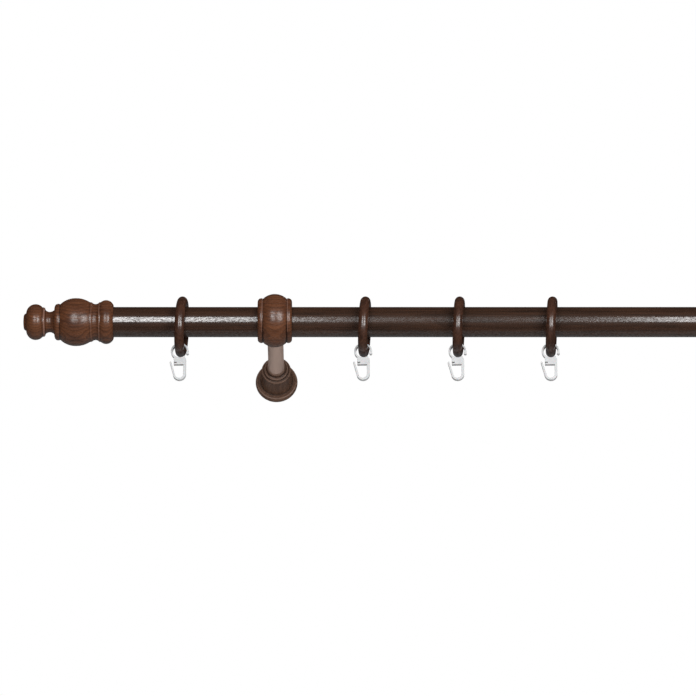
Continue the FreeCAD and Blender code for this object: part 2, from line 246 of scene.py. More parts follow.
def moulded_plate(outline, thickness, edge):
    """A flat moulding in the XZ plane with quarter-round edges.

    Row k moves the outline inward by e (1 - sin t) while y goes from the face to e (1 - cos t) below it,
    for t from 0 to a right angle. One more row just inside keeps each face flat up to its edge.
    """
    path = outline[:-1]
    ahead, behind = np.roll(path, -1, axis=0), np.roll(path, 1, axis=0)
    tangent = ahead - behind
    tangent /= np.linalg.norm(tangent, axis=1, keepdims=True)
    area = (path[:, 0] * ahead[:, 1] - ahead[:, 0] * path[:, 1]).sum()
    inward = np.column_stack([-tangent[:, 1], tangent[:, 0]]) * np.sign(area)
    t = np.linspace(0, math.pi / 2, 5)
    inset = np.concatenate([[edge * 1.25], edge * (1 - np.sin(t))])
    depth = np.concatenate([[0], edge * (1 - np.cos(t))]) - thickness / 2
    inset, depth = np.concatenate([inset, inset[::-1]]), np.concatenate([depth, -depth[::-1]])
    flat = path[None] + inward[None] * inset[:, None, None]
    rows, columns = flat.shape[:2]
    points = np.stack([flat[..., 0], np.repeat(depth[:, None], columns, 1), flat[..., 1]], axis=-1)
    face = [Vector((u, v, 0)) for u, v in flat[0]]
    caps = np.array(tessellate_polygon([face]))
    side = grid_faces(rows, columns, False)
    p = flat[0][caps]
    turn = np.cross(p[:, 1] - p[:, 0], p[:, 2] - p[:, 0])
    caps[turn * area > 0] = caps[turn * area > 0][:, ::-1]
    back = caps[:, ::-1] + (rows - 1) * columns
    return points.reshape(-1, 3), side, np.concatenate([caps, back])


def bore(mesh, cutters):
    """Cuts round bars out of a mesh, for the holes of the fasteners."""
    body = bpy.data.objects.new("bore_body", mesh)
    bars = [bpy.data.objects.new("bore_bar", bar) for bar in cutters]
    for thing in [body] + bars:
        bpy.context.scene.collection.objects.link(thing)
    for bar in bars:
        cut = body.modifiers.new("bore", "BOOLEAN")
        cut.operation, cut.solver, cut.object = "DIFFERENCE", "EXACT", bar
    finished = bpy.data.meshes.new_from_object(body.evaluated_get(bpy.context.evaluated_depsgraph_get()))
    finished.name = mesh.name
    for thing in [body] + bars:
        bpy.data.objects.remove(thing)
    finished.shade_smooth()
    finished.set_sharp_from_angle(angle=math.radians(40))
    return finished


# ---------------------------------------------------------------- places


def on_pole(points, x):
    """Puts a piece made about X at that place along the pole."""
    return points + np.array([x, POLE_MIDDLE.y, POLE_MIDDLE.z])


def on_bracket(points, side):
    """Puts a piece made about X, along being the distance from the wall, on a bracket's axis."""
    along, across, up = points.T
    return np.column_stack([across + COLLAR_MIDDLE[side].x, -along, up])


def turned_about_z(points, angle):
    """Turns points about the upright axis."""
    c, s = math.cos(angle), math.sin(angle)
    x, y, z = points.T
    return np.column_stack([c * x - s * y, s * x + c * y, z])


def leaned(points, angle):
    """Turns points about the Y axis, so that the top goes towards +X."""
    c, s = math.cos(angle), math.sin(angle)
    x, y, z = points.T
    return np.column_stack([c * x + s * z, y, c * z - s * x])


def mesh_points(mesh):
    """Every point of a mesh, one row each."""
    points = np.empty(len(mesh.vertices) * 3, np.float32)
    mesh.vertices.foreach_get("co", points)
    return points.reshape(-1, 3)


def write_grain(mesh, origin, along, pith, tilt, shift):
    """Stores where each point lay in the plank it was cut from: the grain runs along the first number.

    g = T (p - origin) + (shift, pith), where T turns the piece's grain direction onto X and leans it by tilt.
    """
    local = mesh_points(mesh) - np.array(origin)
    first = np.array(along, float) / np.linalg.norm(along)
    helper = np.array([0, 0, 1.0]) if abs(first[2]) < 0.9 else np.array([1.0, 0, 0])
    second = np.cross(helper, first)
    second /= np.linalg.norm(second)
    third = np.cross(first, second)
    first = first + tilt * third
    plank = local @ np.column_stack([first, second, third]) + np.array([shift, pith[0], pith[1]])
    layer = mesh.attributes.new("grain", "FLOAT_VECTOR", "POINT")
    layer.data.foreach_set("vector", plank.astype(np.float32).ravel())


LENGTH_ONLY = 1000.0  # a turning step so wide that points are spread by length alone
NEAREST_BATCH = 4000  # points compared with the outline at a time


def write_hollow(mesh, outline, along, radius):
    """Stores how hollow (+) or proud (-) the outline is at each point: its softened curvature."""
    fine = even_turning(outline, LENGTH_ONLY, 0.25 * MM)
    legs = np.gradient(fine, axis=0)
    heading = np.unwrap(np.arctan2(legs[:, 1], legs[:, 0]))
    bend = np.gradient(heading) / np.maximum(np.linalg.norm(legs, axis=1), 1e-9)
    bend = np.convolve(np.pad(bend, 2, "edge"), np.ones(5) / 5, "valid")
    area = (fine[:-1, 0] * fine[1:, 1] - fine[1:, 0] * fine[:-1, 1]).sum()
    bend *= -np.sign(area) * MM
    own = np.column_stack([along, radius])
    nearest = np.empty(len(own), int)
    for part in np.array_split(np.arange(len(own)), max(1, len(own) // NEAREST_BATCH)):
        nearest[part] = ((own[part, None] - fine[None]) ** 2).sum(-1).argmin(1)
    layer = mesh.attributes.new("hollow", "FLOAT", "POINT")
    layer.data.foreach_set("value", np.clip(bend[nearest], -1, 1).astype(np.float32))


def add_piece(name, mesh, body, node, material):
    """Shows a finished mesh in place of a node."""
    piece = bpy.data.objects.new(name, mesh)
    bpy.context.scene.collection.objects.link(piece)
    mesh.materials.append(material)
    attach(piece, body)
    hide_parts(node)
    return piece


# ---------------------------------------------------------------- finishes


class Signal:
    """A value between nodes: the operators add the Math nodes that work it out."""

    def __init__(self, sheet, socket):
        self.sheet = sheet
        self.socket = socket

    def math(self, operation, *values):
        inputs = dict(enumerate((self,) + values))
        return self.sheet.node("ShaderNodeMath", {"operation": operation}, inputs)

    def flipped(self, operation, value):
        return self.sheet.node("ShaderNodeMath", {"operation": operation}, {0: value, 1: self})

    def __add__(self, value):
        return self.math("ADD", value)

    def __sub__(self, value):
        return self.math("SUBTRACT", value)

    def __rsub__(self, value):
        return self.flipped("SUBTRACT", value)

    def __mul__(self, value):
        return self.math("MULTIPLY", value)

    def __truediv__(self, value):
        return self.math("DIVIDE", value)

    def __pow__(self, value):
        return self.math("POWER", value)

    __radd__ = __add__
    __rmul__ = __mul__

    def fraction(self):
        return self.math("FRACT")

    def ramp(self, low, high):
        """Goes smoothly from 0 at low to 1 at high."""
        settings = {"interpolation_type": "SMOOTHSTEP"}
        return self.sheet.node("ShaderNodeMapRange", settings, {0: self, 1: low, 2: high})


class Sheet:
    """One node tree and the ways to add to it."""

    def __init__(self, tree):
        self.tree = tree

    def node(self, kind, settings=None, inputs=None, output=0):
        """Adds a node, makes its settings, then links or sets its inputs, and gives back one output."""
        made = self.tree.nodes.new(kind)
        for key, value in (settings or {}).items():
            setattr(made, key, value)
        for key, value in (inputs or {}).items():
            self.feed(made.inputs[key], value)
        return Signal(self, made.outputs[output]) if len(made.outputs) else None

    def feed(self, socket, value):
        """Links a signal to a socket, or sets the socket to a plain value."""
        if isinstance(value, Signal):
            self.tree.links.new(value.socket, socket)
        elif hasattr(socket.default_value, "__len__") and len(socket.default_value) == 4:
            socket.default_value = (*value, 1.0)[:4]
        else:
            socket.default_value = value

    def parts(self, vector):
        """The three numbers of a vector."""
        made = self.tree.nodes.new("ShaderNodeSeparateXYZ")
        self.feed(made.inputs[0], vector)
        return [Signal(self, socket) for socket in made.outputs]

    def scaled(self, vector, factors):
        """The vector with each number times its factor."""
        return self.node("ShaderNodeVectorMath", {"operation": "MULTIPLY"}, {0: vector, 1: factors})

    def noise(self, vector, factors, detail=2.0, roughness=0.5):
        """Soft random values, drawn out by the factors."""
        place = self.scaled(vector, factors)
        inputs = {"Vector": place, "Scale": 1.0, "Detail": detail, "Roughness": roughness}
        return self.node("ShaderNodeTexNoise", None, inputs)

    def mix(self, share, first, second):
        """A colour between two, by share."""
        settings = {"data_type": "RGBA", "clamp_factor": True}
        return self.node("ShaderNodeMix", settings, {0: share, 6: first, 7: second}, 2)

    def bump(self, height, strength, distance, under=None):
        """A surface normal tilted by the height."""
        inputs = {"Height": height, "Strength": strength, "Distance": distance}
        if under is not None:
            inputs["Normal"] = under
        return self.node("ShaderNodeBump", None, inputs)


def new_finish(name, **constants):
    """A material, its node sheet, and its shader with the constants set on their own sockets."""
    material = bpy.data.materials.new(name)
    material.use_nodes = True
    shader = material.node_tree.nodes["Principled BSDF"]
    for key, value in constants.items():
        shader.inputs[key.replace("_", " ").title().replace("Ior", "IOR")].default_value = value
    return material, Sheet(material.node_tree), shader


def lacquered_wood(name, colours, line_strength, gloss, ring_width=2.3 * MM, relief=0.08, wear_and_highlight=0.85):
    """Stained wood under lacquer.

    Growth lines: the distance from the pith, over the line spacing, plus a slow wander; its fraction to a
    high power is one thin dark line a year. Streaks and pores are noise drawn out along the grain. Hollows
    are darker. Proud edges are lighter: partly worn stain, partly a painted highlight along each ridge. The
    lacquer is thinner over the pores and along the fibres, which breaks up its shine. gloss is the weight,
    the roughness and the refractive index of the lacquer.
    """
    dark, light, warm = colours
    coat, spread, index = gloss
    material, sheet, shader = new_finish(name, coat_roughness=spread, coat_ior=index, specular_ior_level=0.1)
    grain = sheet.node("ShaderNodeAttribute", {"attribute_name": "grain"}, None, "Vector")
    hollow = sheet.node("ShaderNodeAttribute", {"attribute_name": "hollow"}, None, "Fac")
    _, side, up = sheet.parts(grain)
    wander = sheet.noise(grain, (9.0, 60.0, 60.0), 2.0)
    distance = (side * side + up * up) ** 0.5
    year = (distance / ring_width + wander * 2.2).fraction()
    late = year**3.0 * (1.0 - year.ramp(0.93, 1.0))
    streak = sheet.noise(grain, (14.0, 420.0, 420.0), 4.0, 0.6).ramp(0.32, 0.68)
    patch = sheet.noise(grain, (16.0, 70.0, 70.0), 3.0, 0.55).ramp(0.3, 0.7)
    fibre = sheet.noise(grain, (90.0, 2600.0, 2600.0), 3.0, 0.6)
    pore = sheet.noise(grain, (170.0, 3600.0, 3600.0), 1.0).ramp(0.60, 0.72)
    colour = sheet.mix(streak, dark, light)
    colour = sheet.mix(patch * 0.45, colour, warm)
    deep = tuple(0.42 * c for c in dark)
    colour = sheet.mix(late * line_strength, colour, deep)
    colour = sheet.mix(pore * 0.5, colour, deep)
    # Darker in hollows.
    colour = sheet.mix(hollow.ramp(0.05, 0.8) * 0.75, colour, deep)
    # Proud edges lighter: partly worn stain, partly a painted highlight along each ridge.
    worn_and_highlight = tuple(1.4 * c + 0.045 for c in light)
    colour = sheet.mix(hollow.ramp(-0.32, -0.62) * wear_and_highlight, colour, worn_and_highlight)
    sheet.feed(shader.inputs["Base Color"], colour)
    glitter = sheet.noise(grain, (420.0, 1500.0, 1500.0), 2.0, 0.7).ramp(0.38, 0.6)
    sheet.feed(shader.inputs["Roughness"], fibre * 0.16 + pore * 0.15 + 0.38)
    sheet.feed(shader.inputs["Coat Weight"], coat * (glitter * 0.8 + 0.2) * (1.0 - pore * 0.5))
    height = fibre * 0.35 + late * 0.4 - pore
    sheet.feed(shader.inputs["Normal"], sheet.bump(height, relief, 0.12 * MM))
    return material


def arm_tone_and_sheen(name, colour):
    """A satin painted dowel: slow changes of tone, and a fine drawn texture along it that breaks the gloss.
    Its colour is partly the arm's own light tone, partly a painted sheen of the bright surroundings under it.
    """
    material, sheet, shader = new_finish(name, specular_ior_level=0.35)
    place = sheet.node("ShaderNodeTexCoord", None, None, "Object")
    slow = sheet.noise(place, (60.0, 12.0, 60.0), 2.0).ramp(0.3, 0.7)
    drawn = sheet.noise(place, (2200.0, 60.0, 2200.0), 3.0)
    specks = sheet.noise(place, (900.0, 900.0, 900.0), 1.0).ramp(0.68, 0.8)
    shade = sheet.mix(slow, tuple(0.86 * c for c in colour), tuple(1.08 * c for c in colour))
    shade = sheet.mix(specks * 0.25, shade, tuple(0.55 * c for c in colour))
    sheet.feed(shader.inputs["Base Color"], shade)
    sheet.feed(shader.inputs["Roughness"], drawn * 0.16 + slow * 0.06 + 0.42)
    sheet.feed(shader.inputs["Normal"], sheet.bump(drawn, 0.12, 0.05 * MM))
    return material


def moulded_plastic(name, colour):
    """White moulded plastic: faint flow clouds and a fine orange-peel skin."""
    glow = {"subsurface_weight": 0.05, "subsurface_scale": 2 * MM}
    material, sheet, shader = new_finish(name, ior=1.47, specular_ior_level=0.3, **glow)
    place = sheet.node("ShaderNodeTexCoord", None, None, "Object")
    cloud = sheet.noise(place, (180.0, 180.0, 180.0), 2.0)
    skin = sheet.noise(place, (2400.0, 2400.0, 2400.0), 2.0)
    shade = sheet.mix(cloud.ramp(0.3, 0.7), colour, tuple(0.94 * c for c in colour))
    sheet.feed(shader.inputs["Base Color"], shade)
    sheet.feed(shader.inputs["Roughness"], cloud * 0.1 + 0.26)
    sheet.feed(shader.inputs["Normal"], sheet.bump(skin, 0.08, 0.03 * MM))
    return material


def plated_metal(name, colour, tarnish):
    """Plated metal: cloudy tarnish, and fine scratches that spread the gloss."""
    material, sheet, shader = new_finish(name, metallic=1.0)
    place = sheet.node("ShaderNodeTexCoord", None, None, "Object")
    cloud = sheet.noise(place, (260.0, 260.0, 260.0), 4.0, 0.6).ramp(0.35, 0.7)
    scratch = sheet.noise(place, (3000.0, 500.0, 3000.0), 3.0)
    sheet.feed(shader.inputs["Base Color"], sheet.mix(cloud * 0.6, colour, tarnish))
    sheet.feed(shader.inputs["Roughness"], cloud * 0.18 + scratch * 0.12 + 0.2)
    sheet.feed(shader.inputs["Normal"], sheet.bump(scratch, 0.1, 0.03 * MM))
    return material


def finish_of(name, make, *values, **named):
    """The material of that name, made once."""
    return bpy.data.materials.get(name) or make(name, *values, **named)


# ---------------------------------------------------------------- settings


def amount(name, description, default, **more):
    """A number that a user may change."""
    return FloatProperty(name=name, description=description, default=default, **more)


def length(name, description, default):
    """A length that a user may change."""
    return amount(name, description, default, unit="LENGTH", precision=5)


def tint(name, description, default):
    """A colour that a user may change."""
    limits = {"min": 0.0, "max": 1.0}
    return FloatVectorProperty(name=name, description=description, default=default, subtype="COLOR", **limits)


class CURTAINPOLE_PG_wood(PropertyGroup):
    """Sizes and stains of the wooden pieces."""

    pole_dark: tint("Pole dark", "Dark streaks of the pole", (0.0156, 0.0075, 0.0044))
    pole_light: tint("Pole light", "Light streaks of the pole", (0.0327, 0.0146, 0.0082))
    pole_warm: tint("Pole warm", "Warm patches of the pole", (0.0412, 0.0177, 0.0090))
    turned_dark: tint("Turned dark", "Dark streaks of finials and collars", (0.0373, 0.0130, 0.0066))
    turned_light: tint("Turned light", "Light streaks of finials and collars", (0.0787, 0.0283, 0.0132))
    turned_warm: tint("Turned warm", "Warm patches of finials and collars", (0.1463, 0.0524, 0.0193))
    rosette_dark: tint("Rosette dark", "Dark streaks of the rosettes", (0.0576, 0.0296, 0.0192))
    rosette_light: tint("Rosette light", "Light streaks of the rosettes", (0.1024, 0.0536, 0.0336))
    rosette_warm: tint("Rosette warm", "Warm patches of the rosettes", (0.1216, 0.0624, 0.0368))
    ring_dark: tint("Ring dark", "Dark streaks of the rings", (0.0210, 0.0087, 0.0051))
    ring_light: tint("Ring light", "Light streaks of the rings", (0.0435, 0.0180, 0.0105))
    ring_warm: tint("Ring warm", "Warm patches of the rings", (0.0645, 0.0248, 0.0128))
    # The arm colour is partly the arm's own light tone, partly a painted sheen of the bright surroundings.
    arm: tint("Arm", "Satin colour of the bracket arms", (0.3629, 0.2583, 0.2142))
    ring_section: length("Ring section", "Radius of a ring's round section", 4.5 * MM)
    columns: IntProperty(name="Columns", description="Faces round a piece", default=128, min=24, max=256)


class CURTAINPOLE_PG_hook(PropertyGroup):
    """Sizes and colours of the hooks and the metal pieces."""

    thickness: length("Thickness", "Thickness of the moulded hook", 4 * MM)
    edge: length("Edge", "Radius of the hook's round edges", 0.4 * MM)
    plastic: tint("Plastic", "Colour of the hooks", (0.430, 0.432, 0.436))
    steel: tint("Steel", "Colour of the screws and bolts", (0.62, 0.63, 0.64))
    steel_tarnish: tint("Steel tarnish", "Dull patches of the screws and bolts", (0.42, 0.41, 0.38))
    brass: tint("Brass", "Colour of the threaded inserts", (0.70, 0.52, 0.24))
    brass_tarnish: tint("Brass tarnish", "Dull patches of the threaded inserts", (0.42, 0.28, 0.12))
    thread_pitch: length("Thread pitch", "Pitch of the bolt's machine thread", 1 * MM)
    wood_pitch: length("Wood pitch", "Pitch of the bolt's wood thread", 2.545 * MM)


class CURTAINPOLE_PG_stage(PropertyGroup):
    """The floor, the lights and the camera."""

    floor_drop: length("Floor drop", "How far the floor lies under the pole", 2.35)
    camera_distance: length("Camera distance", "From the camera to the pole", 5.0)
    camera_from_end: length("Camera from end", "Along the pole from its left end to the camera", 0.2423)
    camera_below: length("Camera below", "How far under the pole the camera aims", 0.0240)
    camera_tilt: amount("Camera tilt", "How steeply the camera looks up", math.radians(25), subtype="ANGLE")
    lens: amount("Lens", "Focal length in millimetres", 279.0, min=10.0, max=300.0)
    floor_colour: tint("Floor", "Colour of the floor", (0.80, 0.80, 0.79))
    key_power: amount("Key power", "Watts of the left softbox", 16.5, unit="POWER")
    side_power: amount("Side power", "Watts of the right softbox", 37.0, unit="POWER")
    back_power: amount("Back power", "Watts of each rear softbox", 30.0, unit="POWER")
    top_strength: amount("Top strength", "Watts per square metre from above", 2.0)


# ---------------------------------------------------------------- wood


WOOD_LOOKS = {
    "pole": {"ring_width": 3.4 * MM, "line_strength": 0.35, "relief": 0.25, "gloss": (1.0, 0.17, 1.95)},
    "turned": {"line_strength": 0.7, "gloss": (0.75, 0.28, 1.65)},
    "rosette": {"line_strength": 0.3, "relief": 0.03, "wear_and_highlight": 0.6, "gloss": (0.35, 0.3, 1.6)},
    "ring": {"ring_width": 2.8 * MM, "line_strength": 0.45, "gloss": (0.95, 0.22, 1.7)},
}


def wood_finish(wood, kind):
    """The stained wood of one kind of piece."""
    colours = [tuple(getattr(wood, f"{kind}_{tone}")) for tone in ("dark", "light", "warm")]
    return finish_of(f"{kind}_walnut", lacquered_wood, colours, **WOOD_LOOKS[kind])


class CURTAINPOLE_OT_pole(Operator):
    """Makes the long round pole"""

    bl_idname = "curtainpole.pole"
    bl_label = "Pole"

    def execute(self, context):
        wood = context.scene.curtainpole_wood
        half = (POLE_HIGH.x - POLE_LOW.x) / 2 / MM
        radius, ease = POLE_RADIUS / MM, 1.0
        left = [(-half, radius - ease), (-half + ease, radius)]
        right = [(half - ease, radius), (half, radius - ease), (half, 0.0)]
        path = turned_outline((-half, 0.0), left + right, softness=0.3, length_step=6.0)
        points, quads, triangles = turned_body(path, wood.columns)
        mesh = closed_mesh("pole_dowel", on_pole(points, POLE_MIDDLE.x), quads, triangles)
        write_grain(mesh, POLE_MIDDLE, (1, 0, 0), (38 * MM, 22 * MM), 0.012, 0.0)
        add_piece("pole_dowel", mesh, FIXED_BODY, "pole", wood_finish(wood, "pole"))
        return {"FINISHED"}


# (distance from the finial's mouth, radius) in millimetres, from the socket's floor outward to the tip
FINIAL_SOCKET = [(25.6, 14.07), (0.5, 14.07), (0.0, 14.57)]
FINIAL_STEPS = [
    (0.0, 15.5),
    ((7.0, 20.35), (11.8, 18.45)),
    (13.2, 18.4),
    ((16.6, 16.7), (19.3, 17.6)),
    ((20.4, 18.35), (21.7, 18.35)),
    ((28.4, 21.4), (35.5, 22.2)),
    ((43.2, 20.6), (48.9, 16.95)),
    (49.4, 16.5),
    ((51.0, 17.0), (54.5, 13.0)),
    (54.6, 11.7),
    ((59.0, 9.5), (63.0, 11.2)),
    (63.3, 12.6),
    ((64.2, 13.5), (65.6, 13.5)),
    ((72.4, 16.6), (80.9, 8.1)),
    ((82.4, 7.3), (83.2, 5.4)),
    ((83.5, 2.7), (83.6, 0.0)),
]


class CURTAINPOLE_OT_finials(Operator):
    """Makes the two turned finials"""

    bl_idname = "curtainpole.finials"
    bl_label = "Finials"

    def execute(self, context):
        wood = context.scene.curtainpole_wood
        floor = FINIAL_SOCKET[0][0]
        path = turned_outline((floor, 0.0), FINIAL_SOCKET + FINIAL_STEPS, softness=0.16)
        for side, sign, node in (("left", -1, "finial_left"), ("right", 1, "finial_right")):
            low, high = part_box(node)
            mouth = high.x if side == "left" else low.x
            points, quads, triangles = turned_body(path * (sign, 1), wood.columns)
            mesh = closed_mesh(f"{node}_turned", on_pole(points, mouth), quads, triangles)
            lean = 0.10 if side == "left" else -0.08
            write_grain(mesh, middle(node), (1, 0, 0), (4 * MM, 13 * MM), lean, sign * 0.7)
            write_hollow(mesh, path, *radial(mesh, mouth, sign))
            add_piece(f"{node}_turned", mesh, node, node, wood_finish(wood, "turned"))
        return {"FINISHED"}


def radial(mesh, start, sign):
    """Each point's distance along the pole from start, and its distance from the pole's axis."""
    x, y, z = mesh_points(mesh).T
    return (x - start) * sign, np.hypot(y - POLE_MIDDLE.y, z - POLE_MIDDLE.z)


# (distance from the collar's middle, radius) in millimetres, from the crown's middle to the bore
COLLAR_HALF = [
    ((5.35, 23.779), (10.7, 20.595)),
    (11.0, 20.0),
    (11.3, 20.6),
    (12.4, 20.8),
    ((14.9, 19.8), (15.9, 17.3)),
    (15.9, 16.0),
    (15.2, 15.3),
]
COLLAR_CROWN = 24.7
ARM_SEAT = 19.0
ARM_HOLE = 7.45


def mirrored(start, steps):
    """A half outline that starts on the mirror line, with the same steps run backward on the other side."""
    ends = [start] + [move[1] if isinstance(move[0], tuple) else move for move in steps]
    back = []
    for number in range(len(steps) - 1, -1, -1):
        u, v = ends[number]
        if isinstance(steps[number][0], tuple):
            through = steps[number][0]
            back.append(((-through[0], through[1]), (-u, v)))
        else:
            back.append((-u, v))
    last = ends[-1]
    return steps + [(-last[0], last[1])] + back


def round_bar(radius, start, end, direction, at, columns=72):
    """A plain bar along +Y or +Z from a point, as a mesh to cut with."""
    points, quads, triangles = turned_body(
        np.array([[start, 0], [start, radius], [end, radius], [end, 0]]) * MM, columns
    )
    along, across, up = points.T
    placed = np.column_stack([across, along, up] if direction == "Y" else [across, up, along])
    return closed_mesh("bore_bar", placed + np.array(at), quads, triangles)


class CURTAINPOLE_OT_collars(Operator):
    """Makes the turned collars that hold the pole"""

    bl_idname = "curtainpole.collars"
    bl_label = "Collars"

    def execute(self, context):
        wood = context.scene.curtainpole_wood
        steps = mirrored((0.0, COLLAR_CROWN), COLLAR_HALF)
        path = turned_outline((0.0, COLLAR_CROWN), steps, closed=True, softness=0.14)
        for number, side in enumerate(SIDES):
            centre = COLLAR_MIDDLE[side]
            centre = Vector((centre.x, centre.y, POLE_MIDDLE.z + COLLAR_LIFT))
            points, quads, triangles = turned_band(path, wood.columns)
            mesh = closed_mesh(f"collar_{side}_turned", points + np.array(centre), quads, triangles)
            bars = [
                round_bar(ARM_HOLE, ARM_SEAT, 30.0, "Y", centre),
                round_bar(2.05, 10.0, 25.0, "Y", centre, 32),
                round_bar(4.05, 10.0, 15.35, "Y", centre, 48),
                round_bar(2.05, 10.0, 30.0, "Z", centre, 32),
            ]
            mesh = bore(mesh, bars)
            write_grain(mesh, centre, (1, 0.05, 0), (9 * MM, 15 * MM), 0.05 - 0.12 * number, 0.4 + number)
            write_hollow(mesh, path, *radial(mesh, centre.x, 1))
            name = f"collar_{side}"
            add_piece(f"{name}_turned", mesh, FIXED_BODY, name, wood_finish(wood, "turned"))
        return {"FINISHED"}


# (distance from the wall, radius) in millimetres
ROSETTE_STEPS = [
    (0.0, 19.2),
    ((3.1, 19.9), (6.1, 19.3)),
    ((6.9, 18.8), (7.1, 18.0)),
    (7.3, 14.9),
    ((16.5, 13.8), (26.8, 13.3)),
    ((28.7, 13.95), (30.8, 13.0)),
    ((31.0, 11.9), (31.8, 11.2)),
    ((33.0, 11.25), (33.9, 10.2)),
    ((34.2, 9.2), (35.1, 8.6)),
    ((36.7, 8.75), (38.0, 8.0)),
    (38.0, 7.45),
    (19.0, 7.45),
    (19.0, 3.3),
    (0.0, 3.3),
]
ARM_STEPS = [
    (35.0, 3.05),
    (32.1, 3.05),
    (32.1, 4.55),
    (19.05, 4.55),
    (19.05, 7.2),
    (19.25, 7.4),
    (120.75, 7.4),
    (120.95, 7.2),
    (120.95, 2.05),
    (91.0, 2.05),
    (91.0, 0.0),
]


class CURTAINPOLE_OT_rosettes(Operator):
    """Makes the turned wall rosettes"""

    bl_idname = "curtainpole.rosettes"
    bl_label = "Rosettes"

    def execute(self, context):
        wood = context.scene.curtainpole_wood
        path = turned_outline((0.0, 3.3), ROSETTE_STEPS, closed=True, softness=0.14)
        for number, side in enumerate(SIDES):
            name = f"rosette_{side}"
            points, quads, triangles = turned_band(path, wood.columns)
            mesh = closed_mesh(f"{name}_turned", on_bracket(points, side), quads, triangles)
            write_grain(mesh, middle(name), (0, 1, 0), (7 * MM, 24 * MM), 0.05, 2.1 + number)
            x, y, z = mesh_points(mesh).T
            write_hollow(mesh, path, -y, np.hypot(x - COLLAR_MIDDLE[side].x, z))
            add_piece(f"{name}_turned", mesh, FIXED_BODY, name, wood_finish(wood, "rosette"))
        return {"FINISHED"}


class CURTAINPOLE_OT_arms(Operator):
    """Makes the round arms between collar and rosette"""

    bl_idname = "curtainpole.arms"
    bl_label = "Arms"

    def execute(self, context):
        wood = context.scene.curtainpole_wood
        path = turned_outline((35.0, 0.0), ARM_STEPS, softness=0.12, length_step=3.0)
        for side in SIDES:
            points, quads, triangles = turned_body(path, wood.columns)
            mesh = closed_mesh(f"arm_{side}_dowel", on_bracket(points, side), quads, triangles)
            # The arm finish holds a painted sheen as well as the arm's own tone.
            finish = finish_of("arm_satin", arm_tone_and_sheen, tuple(wood.arm))
            add_piece(f"arm_{side}_dowel", mesh, FIXED_BODY, f"arm_{side}", finish)
        return {"FINISHED"}


class CURTAINPOLE_OT_rings(Operator):
    """Makes the wooden rings that slide on the pole"""

    bl_idname = "curtainpole.rings"
    bl_label = "Rings"

    def execute(self, context):
        wood = context.scene.curtainpole_wood
        for number in RING_NUMBERS:
            name = f"ring_{number}"
            centre = middle(name)
            drop = Vector(JOINTS[f"hook_{number}_swing"]["pos_m"]) - centre
            lean = math.atan2(-math.copysign(math.hypot(drop.x, drop.y), drop.x), -drop.z)
            points, quads, triangles = ring_surface(drop.length, wood.ring_section, wood.columns, 40)
            points = turned_about_z(leaned(points, lean), ring_turn(number)) + np.array(centre)
            mesh = closed_mesh(f"{name}_turned", points, quads, triangles)
            pick = np.random.default_rng(int(number))
            spin = pick.uniform(0, math.pi)
            grain = (0.15, math.cos(spin), math.sin(spin))
            pith = tuple(pick.uniform(12 * MM, 30 * MM, 2))
            write_grain(mesh, centre, grain, pith, 0.04, float(pick.uniform(0, 3)))
            add_piece(f"{name}_turned", mesh, name, name, wood_finish(wood, "ring"))
        return {"FINISHED"}


def ring_turn(number):
    """How far a ring and its hook are turned about the upright axis, from the hook's own swing axis."""
    x, y, _ = JOINTS[f"hook_{number}_swing"]["axis"]
    return math.atan2(x, -y)


# ---------------------------------------------------------------- hooks

# (across, up) from the hook's swing axis, in millimetres
EYE_CENTRE = (0.0, -1.6)
EYE_INNER = 6.5
EYE_OUTER = 8.2
EYE_GAP_DEG = (-56.0, -16.0)
EYE_TIP_RADIUS = 1.25
HOOK_LOW_BODY = [
    ((5.4, -8.5), (5.9, -9.6)),
    (5.9, -25.4),
    ((0.0, -30.8), (-5.9, -25.4)),
    (-9.15, -13.0),
    ((-8.3, -12.15), (-7.45, -13.0)),
    (-4.0, -25.4),
    ((-0.25, -28.8), (3.5, -25.4)),
    (3.5, -15.1),
    (-5.4, -15.1),
    (-5.4, -13.8),
    (-2.8, -13.8),
    (-2.8, -12.6),
    (-5.4, -12.6),
]
HOOK_BLOCK_LEFT = -5.4


def polar(centre, radius, degrees):
    """The (across, up) place at that angle on a circle."""
    a = math.radians(degrees)
    return (centre[0] + radius * math.cos(a), centre[1] + radius * math.sin(a))


def hook_outline():
    """The hook's closed outline: inside the eye, down the bar, round the cradle and up round the eye."""
    low, high = EYE_GAP_DEG
    wall, mid = (EYE_OUTER - EYE_INNER) / 2, (EYE_OUTER + EYE_INNER) / 2
    lower_end, upper_end = polar(EYE_CENTRE, mid, low), polar(EYE_CENTRE, mid, high)
    drop = math.sqrt(EYE_OUTER**2 - (HOOK_BLOCK_LEFT - EYE_CENTRE[0]) ** 2)
    start = polar(EYE_CENTRE, EYE_INNER, high + 7.0)
    outer_end = polar(EYE_CENTRE, EYE_OUTER, high + 7.0)
    steps = [
        (polar(EYE_CENTRE, EYE_INNER, 130.0), polar(EYE_CENTRE, EYE_INNER, low)),
        (polar(lower_end, wall, 34.0), polar(lower_end, wall, -16.0)),
        *HOOK_LOW_BODY,
        (HOOK_BLOCK_LEFT, EYE_CENTRE[1] - drop),
        (polar(EYE_CENTRE, EYE_OUTER, 110.0), outer_end),
        (polar(upper_end, EYE_TIP_RADIUS, high - 90.0), start),
    ]
    fine = 0.08
    path = eased(trace(start, steps, fine), fine, 0.16, True)
    return even_turning(path, math.radians(9.0), 1.5) * MM


